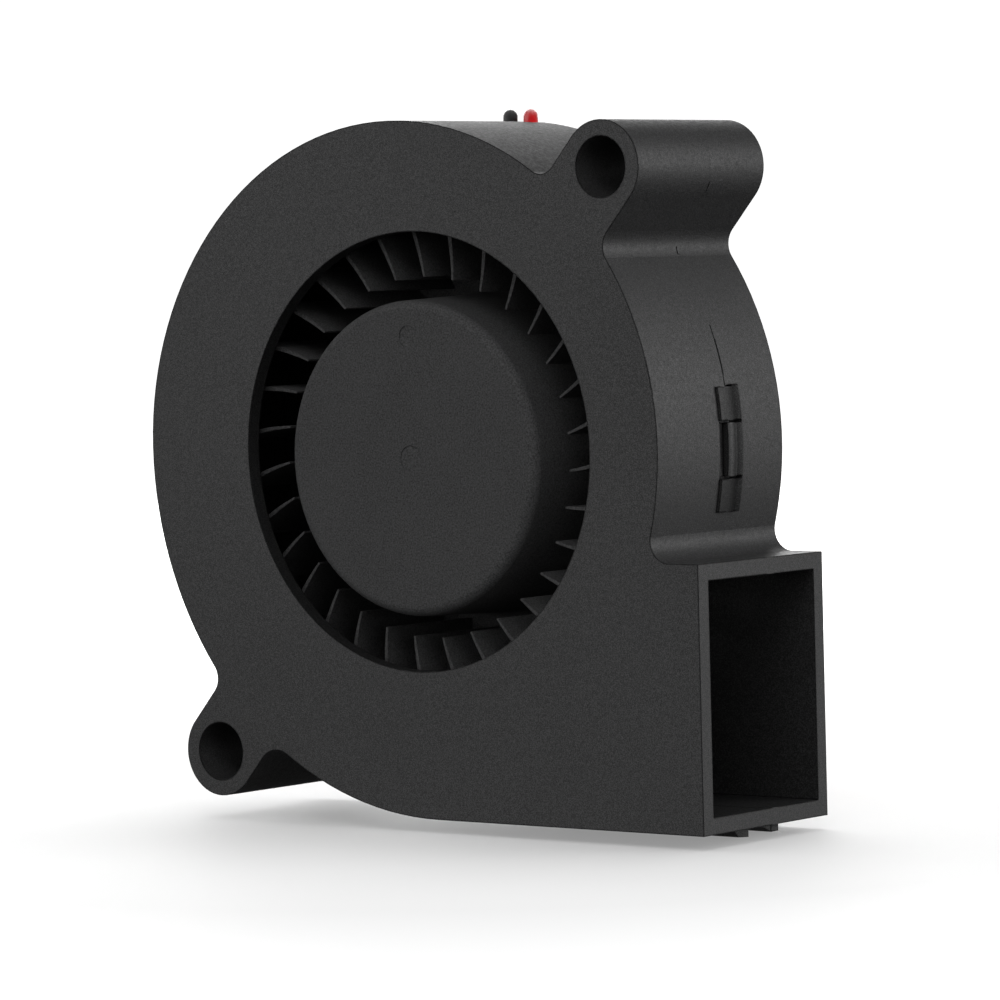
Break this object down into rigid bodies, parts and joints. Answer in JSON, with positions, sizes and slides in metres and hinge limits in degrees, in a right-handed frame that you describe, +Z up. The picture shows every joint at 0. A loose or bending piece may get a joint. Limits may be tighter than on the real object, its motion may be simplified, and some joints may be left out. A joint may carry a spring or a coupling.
{
  "type": "blower fan",
  "caption": "Small direct-current centrifugal blower: flat scroll housing with a round side inlet, rectangular outlet duct, forward-curved impeller, diagonal screw lugs and plugged leads.",
  "frame": {"origin": "bottom centre of the box around the housing, at the lowest face of the snaps under the outlet duct; the free leads and their plug are left out of that box", "axes": "+X points out of the rectangular outlet, -Y points out of the round inlet, +Z points up towards the lead exit"},
  "size_m": [0.0506, 0.0367, 0.0524],
  "materials": {
    "housing_plastic": "fine spark-eroded grain, matte black",
    "impeller_plastic": "smooth moulded black with a soft sheen",
    "yoke_steel": "drawn and zinc plated",
    "magnet": "bonded ferrite, dull dark grey",
    "brass": "turned",
    "bearing_steel": "ground and polished",
    "cage_metal": "pressed ribbon",
    "spring_steel": "drawn wire and stampings",
    "washer_plastic": "low-friction natural plastic",
    "lamination_steel": "stamped laminations",
    "insulator_plastic": "natural moulded plastic",
    "copper_winding": "enamelled round wire, clear lacquer",
    "pin_metal": "tinned",
    "board_laminate": "solder mask over glass laminate",
    "chip_epoxy": "moulded epoxy",
    "capacitor_ceramic": "fired ceramic with tinned ends",
    "resistor_film": "glazed with tinned ends",
    "solder": "tin solder",
    "label_film": "bare satin film",
    "black_insulation": "extruded, soft gloss",
    "red_insulation": "extruded, soft gloss",
    "plug_plastic": "natural moulded nylon",
    "terminal_metal": "tinned phosphor bronze"
  },
  "bodies": {
    "housing": {"front_cover": "housing_plastic", "rear_case": "housing_plastic", "bearing_tube": "brass", "front_bearing_outer_ring": "bearing_steel", "front_bearing_shields": "spring_steel", "rear_bearing_outer_ring": "bearing_steel", "rear_bearing_shields": "spring_steel", "stator_core": "lamination_steel", "front_insulator": "insulator_plastic", "rear_insulator": "insulator_plastic", "stator_windings": "copper_winding", "winding_pins": "pin_metal", "driver_board": "board_laminate", "driver_chip": "chip_epoxy", "board_capacitor": "capacitor_ceramic", "board_resistors": "resistor_film", "solder_joints": "solder", "rear_label": "label_film", "black_lead_inner": "black_insulation", "red_lead_inner": "red_insulation", "black_lead": "black_insulation", "red_lead": "red_insulation", "black_lead_coil": "black_insulation", "red_lead_coil": "red_insulation", "black_lead_tail": "black_insulation", "red_lead_tail": "red_insulation", "connector_housing": "plug_plastic", "crimp_terminals": "terminal_metal"},
    "rotor": {"impeller": "impeller_plastic", "rotor_yoke": "yoke_steel", "ring_magnet": "magnet", "hub_bush": "brass", "shaft": "bearing_steel", "preload_spring": "spring_steel", "thrust_washer": "washer_plastic", "retaining_clip": "spring_steel", "front_bearing_inner_ring": "bearing_steel", "rear_bearing_inner_ring": "bearing_steel"},
    "front_ball_cage": {"front_bearing_balls": "bearing_steel", "front_bearing_cage": "cage_metal"},
    "rear_ball_cage": {"rear_bearing_balls": "bearing_steel", "rear_bearing_cage": "cage_metal"}
  },
  "joints": [
    {"name": "impeller_spin", "type": "hinge", "parent": "housing", "child": "rotor", "pos_m": [-0.00027, 0, 0.02712], "axis": [0, -1, 0], "continuous": true},
    {"name": "front_cage_spin", "type": "hinge", "parent": "housing", "child": "front_ball_cage", "pos_m": [-0.00027, -0.0021, 0.02712], "axis": [0, -1, 0], "continuous": true},
    {"name": "rear_cage_spin", "type": "hinge", "parent": "housing", "child": "rear_ball_cage", "pos_m": [-0.00027, 0.003, 0.02712], "axis": [0, -1, 0], "continuous": true}
  ],
  "couplings": [
    {"joint": "front_cage_spin", "follows": "impeller_spin", "ratio": 0.38},
    {"joint": "rear_cage_spin", "follows": "impeller_spin", "ratio": 0.38}
  ]
}
